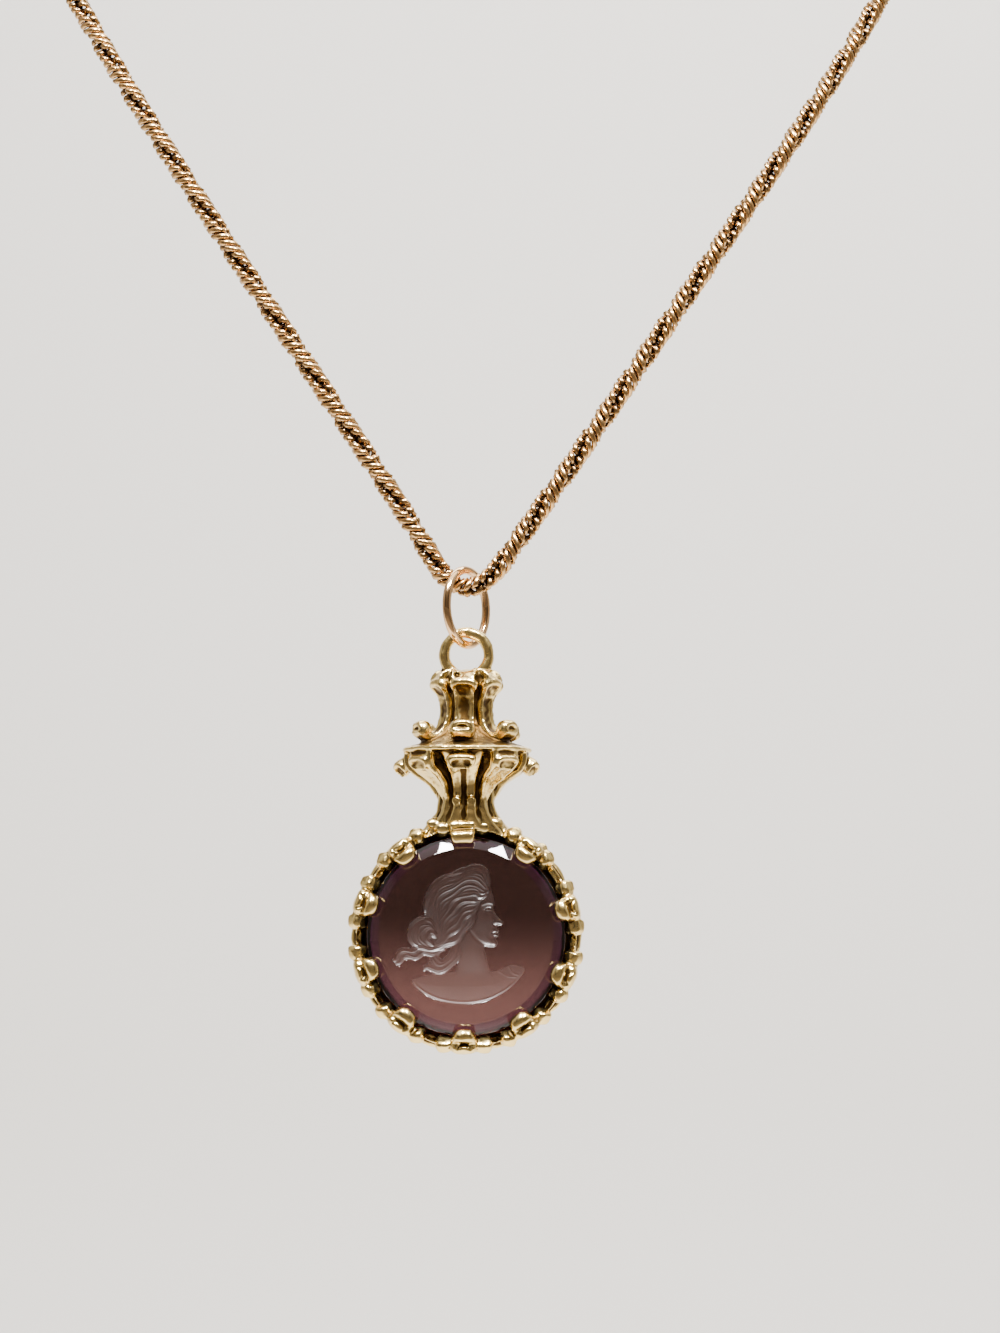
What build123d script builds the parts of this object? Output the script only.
from build123d import *
import os
from math import cos, pi, radians, sin, tan

# Intaglio pendant necklace, in millimetres.
# +X is the viewer's right, +Y is away from the viewer and +Z is up.
# The origin is the middle of the clasp, where the necklace rests on the nape.

# The chain: a 2 mm twisted curb chain, drawn as a tube of its outer size.
chain_d = 2.0

# The chain's route from the clasp's right end, over the right side of the neck, down to the fold
# under the jump ring, and back up the left side to the clasp's left end.
chain_route = [
    (28.0, -3.6, 0.0),
    (47.0, -19.4, -0.8),
    (55.6, -44.0, -4.6),
    (53.8, -69.6, -15.4),
    (47.4, -96.6, -33.0),
    (36.2, -108.4, -54.4),
    (20.8, -115.0, -77.8),
    (10.5, -117.2, -93.4),
    (5.0, -117.8, -101.3),
    (2.3, -118.0, -105.2),
    (0.0, -118.0, -106.3),
    (-2.1, -118.0, -105.2),
    (-4.2, -117.8, -101.5),
    (-9.4, -117.2, -93.4),
    (-19.6, -115.0, -77.8),
    (-34.2, -108.4, -54.6),
    (-46.2, -96.6, -32.2),
    (-53.4, -69.6, -14.8),
    (-55.2, -44.0, -4.4),
    (-46.4, -19.4, -0.8),
    (-27.6, -3.6, 0.0),
]
fold_rise = 0.3

# Clearances: between pieces that move, and between the stone and its setting.
swing_gap = 0.15
seat_gap = 0.06

# The clasp: a barrel with domed ends and a loop at each end.
barrel_l = 9.4
barrel_d = 3.2
barrel_dome = 1.0
clasp_loop_d = 2.4
clasp_loop_wire = 0.6

# The jump ring: round wire, hung over the chain, its plane upright and turned from straight ahead.
ring_outer_d = 7.7
ring_wire_d = 0.8
ring_turn = 31.0

# The cast loop on top of the drop.
loop_hole_d = 3.0
loop_wire_d = 1.1
loop_sink = 0.95

# The stem. Its tiers are stacked from the loop down.
stem_turn = -4.4
cap_d = 5.6
cap_t = 1.4
cap_knob_d = 1.3
upper_h = 5.1
upper_ribs = 6
scroll_r = 5.1
neck_r = 2.2
neck_drop = 0.3
upper_core_r = 1.75
scroll_w = 2.4
scroll_web = 1.2
scroll_roll_r = 0.7
scroll_roll_rise = 0.32
cornice_h = 0.95
cornice_top_r = 4.4
cornice_r = 5.9
cornice_edge = 0.45
lower_ribs = 8
bracket_knob_r = 0.75
bracket_r = 6.65
bracket_w = 2.6
bracket_knob_drop = 0.45
rib_w = 1.1
column_h = 6.1
waist_r = 2.65
waist_drop = 0.42
column_core_r = 2.15
column_foot_r = 3.3
foot_w = 9.2
foot_h = 1.1
foot_sink = 1.1
foot_inset = 0.25

# The stone: a round disc with a flat table, a bevel and a flat back.
stone_d = 18.0
table_d = 15.8
bevel_h = 0.65
girdle_h = 2.9
back_chamfer = 0.3

# The round setting: a wall round the stone, a ledge under it, claws over it and knobs round it.
wall_groove = 0.5
wall_t = 0.6
ledge_w = 0.8
ledge_t = 1.3
claws = 10
claw_w = 2.2
claw_over = 0.62
claw_out = 0.65
claw_head_t = 0.7
claw_nose_r = 1.0
knob_d = 1.45
knob_spread = 10.5
knob_rise = 0.35
knob_out = 0.1
setting_shift = -0.55


def turned(angle, origin):
    """The upright plane through origin whose first axis points outwards at angle round +Z."""
    direction = (cos(radians(angle)), sin(radians(angle)), 0)
    normal = (sin(radians(angle)), -cos(radians(angle)), 0)
    return Plane(origin=origin, x_dir=direction, z_dir=normal)


def route_radii(points):
    """One radius for each corner: 0.45 of the shorter run, over the tangent of half the turn."""
    corners = [Vector(*point) for point in points]
    radii = []
    for before, corner, after in zip(corners, corners[1:], corners[2:]):
        run_in = corner - before
        run_out = after - corner
        half_turn = radians(run_in.get_angle(run_out)) / 2
        radii.append(0.45 * min(run_in.length, run_out.length) / tan(half_turn))
    return radii


# The drop hangs from the fold, where the tube's middle line rounds the route's lowest corner.
hang_x, hang_y, fold_z = min(chain_route, key=lambda corner: corner[2])
hang_z = fold_z + fold_rise

# Places that follow from the sizes above, from the fold down to the stone's centre.
ring_mean_r = (ring_outer_d - ring_wire_d) / 2
ring_z = hang_z + chain_d / 2 + swing_gap + ring_wire_d / 2 - ring_mean_r
ring_low_z = ring_z - ring_mean_r
loop_mean_r = (loop_hole_d + loop_wire_d) / 2
loop_z = ring_low_z + ring_wire_d / 2 + swing_gap - loop_hole_d / 2
cap_top_z = loop_z - loop_mean_r - loop_wire_d / 2 + loop_sink
cap_z = cap_top_z - cap_t
cornice_top_z = cap_z - upper_h
cornice_z = cornice_top_z - cornice_h
bracket_z = cornice_z - cornice_edge
column_z = bracket_z - column_h
wall_in_r = stone_d / 2 + wall_groove
wall_out_r = wall_in_r + wall_t
stone_z = column_z - wall_out_r
axis_point = (hang_x, hang_y, 0)
stem_axis = Axis(axis_point, (0, 0, 1))

clasp_end = barrel_l / 2 + clasp_loop_d - clasp_loop_wire / 2
chain_start = clasp_end + swing_gap
route = [(chain_start, 0, 0), *chain_route, (-chain_start, 0, 0)]
radii = route_radii(route)

# Chain: one round tube along straight runs joined by tangent arcs.
with BuildPart() as chain:
    with BuildLine() as chain_line:
        FilletPolyline(*route, radius=radii)
    with BuildSketch(Plane(origin=route[0], z_dir=chain_line.line % 0)):
        Circle(chain_d / 2)
    sweep(path=chain_line.wire())
chain.part.label = "chain"

chain_l = chain_line.wire().length
print("corner radii", [round(radius, 1) for radius in radii])
print("chain length", round(chain_l, 1), "whole loop", round(chain_l + 2 * chain_start, 1))
print("tube volume over section times length", chain.part.volume / (pi * chain_d**2 / 4 * chain_l))

# Clasp: a turned barrel with a wire loop in each domed end.
with BuildPart() as clasp:
    with BuildSketch(Plane.XZ):
        with BuildLine():
            Line((-barrel_l / 2, 0), (barrel_l / 2, 0))
            RadiusArc(
                (barrel_l / 2, 0),
                (barrel_l / 2 - barrel_dome, barrel_d / 2),
                -barrel_d / 2,
            )
            Line(
                (barrel_l / 2 - barrel_dome, barrel_d / 2),
                (-barrel_l / 2 + barrel_dome, barrel_d / 2),
            )
            RadiusArc(
                (-barrel_l / 2 + barrel_dome, barrel_d / 2),
                (-barrel_l / 2, 0),
                -barrel_d / 2,
            )
        make_face()
    revolve(axis=Axis.X)
    loop_mid = clasp_end - clasp_loop_d / 2
    with Locations((loop_mid, 0, 0), (-loop_mid, 0, 0)):
        Torus((clasp_loop_d - clasp_loop_wire) / 2, clasp_loop_wire / 2)
clasp.part.label = "clasp"

# Jump ring: round wire in an upright plane, turned so that its front limb is on the left.
ring_plane = turned(90 - ring_turn, (hang_x, hang_y, ring_z))
with BuildPart(ring_plane) as jump_ring:
    Torus(ring_mean_r, ring_wire_d / 2)
jump_ring.part.label = "jump_ring"

# The setting faces the viewer, so heights on this plane's normal count towards the viewer.
face = Plane(
    origin=(hang_x, hang_y + setting_shift, stone_z), x_dir=(1, 0, 0), z_dir=(0, -1, 0)
)
face_axis = Axis((hang_x, hang_y + setting_shift, stone_z), (0, -1, 0))
stone_t = bevel_h + girdle_h
table_f = stone_t / 2
girdle_f = table_f - bevel_h
back_f = -stone_t / 2
side = Plane(origin=face.origin, x_dir=(1, 0, 0), z_dir=(0, 0, 1))


def stone_outline(grow):
    """Half of the stone's section, radius against -height, grown outwards by grow."""
    outline = [
        (0, -table_f - grow),
        (table_d / 2, -table_f - grow),
        (stone_d / 2 + grow, -girdle_f - grow / 2),
        (stone_d / 2 + grow, -back_f - back_chamfer),
        (stone_d / 2 - back_chamfer + grow / 2, -back_f + grow),
        (0, -back_f + grow),
    ]
    return outline


# Stone: a round glass disc, flat table in front, bevelled edge, flat back.
with BuildPart() as intaglio_stone:
    with BuildSketch(side):
        Polygon(*stone_outline(0), align=None)
    revolve(axis=face_axis)
intaglio_stone.part.label = "intaglio_stone"

wall_front = girdle_f
wall_back = back_f - seat_gap - ledge_t
wall_depth = wall_front - wall_back
setting_mid = -(wall_front + wall_back) / 2
claw_top = table_f + claw_head_t
claw_in_r = stone_d / 2 - claw_over
claw_out_r = wall_out_r + claw_out
knob_ring_r = wall_out_r + knob_out
claw_l = claw_out_r - claw_in_r
claw_mid_r = (claw_in_r + claw_out_r) / 2
post_r = (claw_out_r + wall_out_r - wall_t) / 2
bore_front = claw_top + claw_head_t

# Sizes of the stem that its ribs and roofs share.
cap_mid_z = cap_z + cap_t / 2
cornice_mid_z = cornice_top_z - cornice_h / 2
knob_mid_r = bracket_r - bracket_knob_r
roll_mid_r = scroll_r - scroll_roll_r
roll_z = cornice_top_z + upper_h * scroll_roll_rise


def rib_plane(index, count):
    """The upright plane of rib number index, the first facing the viewer but for the stem's turn."""
    return turned(-90 + stem_turn + 360 * index / count, (hang_x, hang_y, 0))


# Casting: loop, stem and round setting, soldered and cast as one.
with BuildPart() as fob_setting:
    # Wall round the stone, with a post for each claw and a pair of small knobs beside it.
    with BuildSketch(face.offset(wall_back)):
        Circle(wall_out_r)
        with PolarLocations(post_r, claws, start_angle=90):
            Rectangle(claw_out_r - wall_out_r + wall_t, claw_w)
    extrude(amount=wall_depth)
    with BuildSketch(face.offset(wall_back)):
        with PolarLocations(knob_ring_r, claws, start_angle=90 - knob_spread):
            Circle(knob_d / 2)
        with PolarLocations(knob_ring_r, claws, start_angle=90 + knob_spread):
            Circle(knob_d / 2)
    extrude(amount=wall_depth + knob_rise)

    # Foot: a roof that spreads from the column over the setting's top.
    with BuildSketch(Plane(origin=(hang_x, hang_y, column_z + foot_h))):
        Rectangle(2 * column_core_r, 2 * column_core_r)
    with BuildSketch(Plane(origin=(hang_x, hang_y + setting_shift + setting_mid, column_z - foot_sink))):
        Rectangle(foot_w, wall_depth - 2 * foot_inset)
    loft(ruled=True)

    # The stone's room: a bore down to the ledge, then a smaller one right through.
    with BuildSketch(face.offset(back_f - seat_gap)):
        Circle(wall_in_r)
    extrude(amount=bore_front - back_f, mode=Mode.SUBTRACT)
    with BuildSketch(face.offset(wall_back)):
        Circle(stone_d / 2 - ledge_w)
    extrude(amount=ledge_t * 2, mode=Mode.SUBTRACT)

    # Claws: rounded heads from the posts over the bevel, cut to clear the stone.
    with BuildSketch(face.offset(girdle_f - claw_head_t)):
        with PolarLocations(claw_mid_r, claws, start_angle=90):
            RectangleRounded(claw_l, claw_w, min(claw_nose_r, 0.46 * min(claw_w, claw_l)))
    extrude(amount=claw_top - girdle_f + claw_head_t)
    with BuildSketch(side):
        Polygon(*stone_outline(seat_gap), align=None)
    revolve(axis=face_axis, mode=Mode.SUBTRACT)

    # Loop and cap.
    with Locations(Plane(origin=(hang_x, hang_y, loop_z), z_dir=(0, -1, 0))):
        Torus(loop_mean_r, loop_wire_d / 2)
    with BuildSketch(Plane(origin=(hang_x, hang_y, cap_z))):
        Circle(cap_d / 2 - cap_knob_d / 4)
        with PolarLocations(cap_d / 2, upper_ribs, start_angle=-90 + stem_turn):
            Circle(cap_knob_d / 2)
    extrude(amount=cap_t)

    # Core, cornice and waisted column, turned round the stem's axis.
    with BuildSketch(Plane(origin=axis_point, x_dir=(1, 0, 0), z_dir=(0, -1, 0))):
        with BuildLine():
            Polyline(
                (0, cap_mid_z),
                (upper_core_r, cap_mid_z),
                (upper_core_r, roll_z),
                (cornice_top_r, cornice_top_z),
                (cornice_r, cornice_z),
                (cornice_r, bracket_z),
                (column_core_r, bracket_z - cornice_edge),
                (column_core_r, column_z),
                (0, column_z),
                (0, cap_mid_z),
            )
        make_face()
    revolve(axis=stem_axis)

    # Scrolls of the upper tier: each falls from the cap, in at the neck and out to a rolled tip.
    for index in range(upper_ribs):
        with BuildSketch(rib_plane(index, upper_ribs)):
            with BuildLine():
                ThreePointArc(
                    (cap_d / 2, cap_mid_z),
                    (neck_r, cap_z - upper_h * neck_drop),
                    (roll_mid_r, roll_z + scroll_roll_r),
                )
                Polyline(
                    (roll_mid_r, roll_z + scroll_roll_r),
                    (roll_mid_r, roll_z - scroll_roll_r),
                    (cornice_top_r, cornice_mid_z),
                    (0, cornice_mid_z),
                    (0, cap_mid_z),
                    (cap_d / 2, cap_mid_z),
                )
            make_face()
        extrude(amount=scroll_web / 2, both=True)
        with BuildSketch(rib_plane(index, upper_ribs)):
            with Locations((roll_mid_r, roll_z)):
                Circle(scroll_roll_r)
        extrude(amount=scroll_w / 2, both=True)

    # Brackets of the lower tier: a knob under the cornice, and a rib sweeping in to the waist.
    for index in range(lower_ribs):
        with BuildSketch(rib_plane(index, lower_ribs)):
            with Locations((knob_mid_r, cornice_z - bracket_knob_drop)):
                Circle(bracket_knob_r)
        extrude(amount=bracket_w / 2, both=True)
        with BuildSketch(rib_plane(index, lower_ribs)):
            with BuildLine():
                ThreePointArc(
                    (knob_mid_r, bracket_z),
                    (waist_r, bracket_z - column_h * waist_drop),
                    (column_foot_r, column_z),
                )
                Polyline(
                    (column_foot_r, column_z),
                    (0, column_z),
                    (0, bracket_z),
                    (knob_mid_r, bracket_z),
                )
            make_face()
        extrude(amount=rib_w / 2, both=True)
fob_setting.part.label = "fob_setting"

os.makedirs("parts", exist_ok=True)
export_step(chain.part, "parts/chain.step")
export_step(clasp.part, "parts/clasp.step")
export_step(jump_ring.part, "parts/jump_ring.step")
export_step(intaglio_stone.part, "parts/intaglio_stone.step")
export_step(fob_setting.part, "parts/fob_setting.step")
